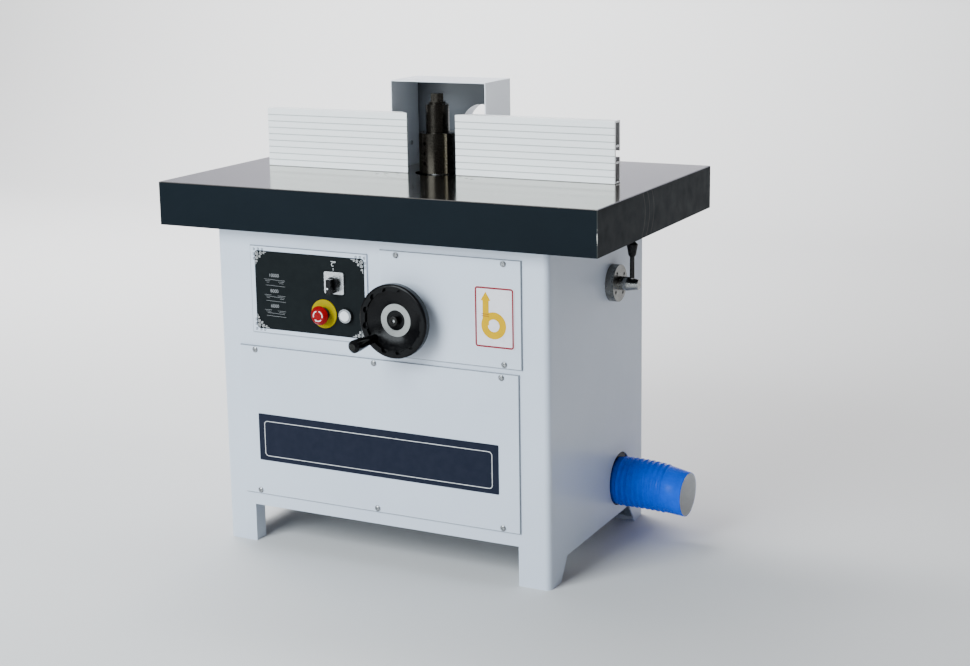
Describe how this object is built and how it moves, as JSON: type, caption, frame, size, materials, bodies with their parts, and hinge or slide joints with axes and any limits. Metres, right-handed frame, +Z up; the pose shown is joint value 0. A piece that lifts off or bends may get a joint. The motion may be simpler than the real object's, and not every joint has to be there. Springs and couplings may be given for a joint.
{
  "type": "spindle moulder",
  "caption": "Cabinet-mounted spindle moulder: cast table, rising cutter spindle driven by belt, split fence with dust hood, handwheel height setting and spindle lock.",
  "frame": {"origin": "on the floor, at the centre of the rectangle of floor bolts, which is the cabinet's centre", "axes": "+X along the table to the operator's right, the operator stands at -Y, +Z up"},
  "size_m": [1.038, 0.721, 0.9742],
  "materials": {
    "cabinet_paint": "smooth light grey enamel",
    "hood_paint": "smooth pale blue-grey enamel",
    "motor_paint": "grey-green machine enamel",
    "table_iron": "ground top, dark painted skirt",
    "casting_iron": "as cast, machined where it slides",
    "fence_aluminium": "anodised silver",
    "pulley_aluminium": "turned",
    "steel": "turned",
    "dark_steel": "blackened",
    "knife_steel": "ground edge",
    "bronze": "turned bronze",
    "black_gloss": "moulded, polished",
    "black_matte": "moulded, fine grain",
    "red_plastic": "moulded",
    "yellow_plastic": "moulded",
    "white_plastic": "moulded",
    "hose_blue": "extruded with wound ribs",
    "belt_rubber": "flat woven-back belt"
  },
  "bodies": {
    "machine": {"cabinet_shell": "cabinet_paint", "table": "table_iron", "table_rings": "table_iron", "ring_screws": "steel", "table_bolts": "steel", "upper_cover": "cabinet_paint", "lower_cover": "cabinet_paint", "cover_screws": "cabinet_paint", "panel_frame": "cabinet_paint", "panel_overlay": "black_matte", "control_box": "cabinet_paint", "switch_blocks": "black_matte", "selector_plate": "steel", "estop_ring": "yellow_plastic", "start_bezel": "white_plastic", "screw_bracket": "casting_iron", "shaft_bushes": "bronze", "slide_way": "casting_iron", "lock_flange": "steel", "lock_screws": "dark_steel", "dust_collar": "steel", "dust_hose": "hose_blue", "cable_gland": "black_matte"},
    "fence_unit": {"hood": "hood_paint", "fence_bracket_left": "casting_iron", "fence_bracket_right": "casting_iron", "fence_fasteners": "steel"},
    "fence_left": {"fence_left": "fence_aluminium"},
    "fence_right": {"fence_right": "fence_aluminium"},
    "fence_knob_left": {"fence_knob_left": "black_matte"},
    "fence_knob_right": {"fence_knob_right": "black_matte"},
    "base_knob_left": {"base_knob_left": "black_matte"},
    "base_knob_right": {"base_knob_right": "black_matte"},
    "handwheel": {"handwheel": "black_gloss", "handwheel_ring": "steel", "handwheel_shaft": "steel", "bevel_pinion": "steel", "grip_pin": "steel"},
    "crank_grip": {"crank_grip": "black_gloss"},
    "screw": {"lead_screw": "steel", "bevel_gear": "steel"},
    "carriage": {"carriage": "casting_iron", "feed_nut": "bronze", "motor_housing": "motor_paint", "drive_belt": "belt_rubber", "spindle_bearings": "steel"},
    "spindle": {"spindle_shaft": "steel", "spindle_pulley": "pulley_aluminium", "cutter_block": "dark_steel", "cutter_knives": "knife_steel", "spindle_collars": "dark_steel", "arbor_nut": "dark_steel"},
    "rotor": {"motor_shaft": "steel", "motor_pulley": "pulley_aluminium"},
    "selector": {"selector_knob": "black_gloss"},
    "estop_plunger": {"estop_plunger": "black_matte"},
    "estop_head": {"estop_head": "red_plastic"},
    "start_button": {"start_button": "white_plastic"},
    "lock_lever": {"lock_lever": "dark_steel", "lock_knob": "black_gloss"}
  },
  "joints": [
    {"name": "fence_setting", "type": "slide", "parent": "machine", "child": "fence_unit", "axis": [0, 1, 0], "range_m": [-0.02, 0.05]},
    {"name": "left_fence_slide", "type": "slide", "parent": "fence_unit", "child": "fence_left", "axis": [1, 0, 0], "range_m": [-0.06, 0.01]},
    {"name": "right_fence_slide", "type": "slide", "parent": "fence_unit", "child": "fence_right", "axis": [1, 0, 0], "range_m": [-0.01, 0.06]},
    {"name": "left_fence_knob_turn", "type": "hinge", "parent": "fence_unit", "child": "fence_knob_left", "pos_m": [-0.22518, 0.06, 0.83965], "axis": [0, 1, 0], "range_deg": [-360, 0]},
    {"name": "right_fence_knob_turn", "type": "hinge", "parent": "fence_unit", "child": "fence_knob_right", "pos_m": [0.21018, 0.066, 0.83965], "axis": [0, 1, 0], "range_deg": [-360, 0]},
    {"name": "left_base_knob_turn", "type": "hinge", "parent": "fence_unit", "child": "base_knob_left", "pos_m": [-0.3075, 0.11415, 0.8], "axis": [0, 0, 1], "range_deg": [0, 360]},
    {"name": "right_base_knob_turn", "type": "hinge", "parent": "fence_unit", "child": "base_knob_right", "pos_m": [0.2925, 0.11415, 0.8], "axis": [0, 0, 1], "range_deg": [0, 360]},
    {"name": "handwheel_turn", "type": "hinge", "parent": "machine", "child": "handwheel", "pos_m": [0.065, -0.28, 0.531], "axis": [0, 1, 0], "range_deg": [-12751, 2251]},
    {"name": "crank_grip_spin", "type": "hinge", "parent": "handwheel", "child": "crank_grip", "pos_m": [0.01827, -0.342, 0.49179], "axis": [0, 1, 0], "continuous": true},
    {"name": "lead_screw_turn", "type": "hinge", "parent": "machine", "child": "screw", "pos_m": [0.065, -0.06, 0.6], "axis": [0, 0, 1], "range_deg": [-901, 5101]},
    {"name": "spindle_height", "type": "slide", "parent": "machine", "child": "carriage", "axis": [0, 0, 1], "range_m": [-0.085, 0.015]},
    {"name": "motor_spin", "type": "hinge", "parent": "carriage", "child": "rotor", "pos_m": [-0.2395, 0.042, 0.456], "axis": [0, 0, 1], "continuous": true},
    {"name": "spindle_spin", "type": "hinge", "parent": "carriage", "child": "spindle", "pos_m": [-0.0075, 0.042, 0.62], "axis": [0, 0, 1], "continuous": true},
    {"name": "selector_turn", "type": "hinge", "parent": "machine", "child": "selector", "pos_m": [-0.0935, -0.265, 0.5885], "axis": [0, 1, 0], "range_deg": [-45, 45]},
    {"name": "emergency_stop_push", "type": "slide", "parent": "machine", "child": "estop_plunger", "axis": [0, 1, 0], "range_m": [0, 0.005]},
    {"name": "emergency_stop_release", "type": "hinge", "parent": "estop_plunger", "child": "estop_head", "pos_m": [-0.12, -0.27, 0.5217], "axis": [0, 1, 0], "range_deg": [0, 45]},
    {"name": "start_push", "type": "slide", "parent": "machine", "child": "start_button", "axis": [0, 1, 0], "range_m": [0, 0.003], "stiffness_N_per_m": 800},
    {"name": "spindle_lock_turn", "type": "hinge", "parent": "machine", "child": "lock_lever", "pos_m": [0.4, 0.069, 0.565], "axis": [1, 0, 0], "range_deg": [0, 90]}
  ],
  "couplings": [
    {"joint": "handwheel_turn", "follows": "spindle_height", "rad_per_m": 2618},
    {"joint": "lead_screw_turn", "follows": "spindle_height", "rad_per_m": -1047.2},
    {"joint": "spindle_spin", "follows": "motor_spin", "ratio": 2.7778}
  ]
}
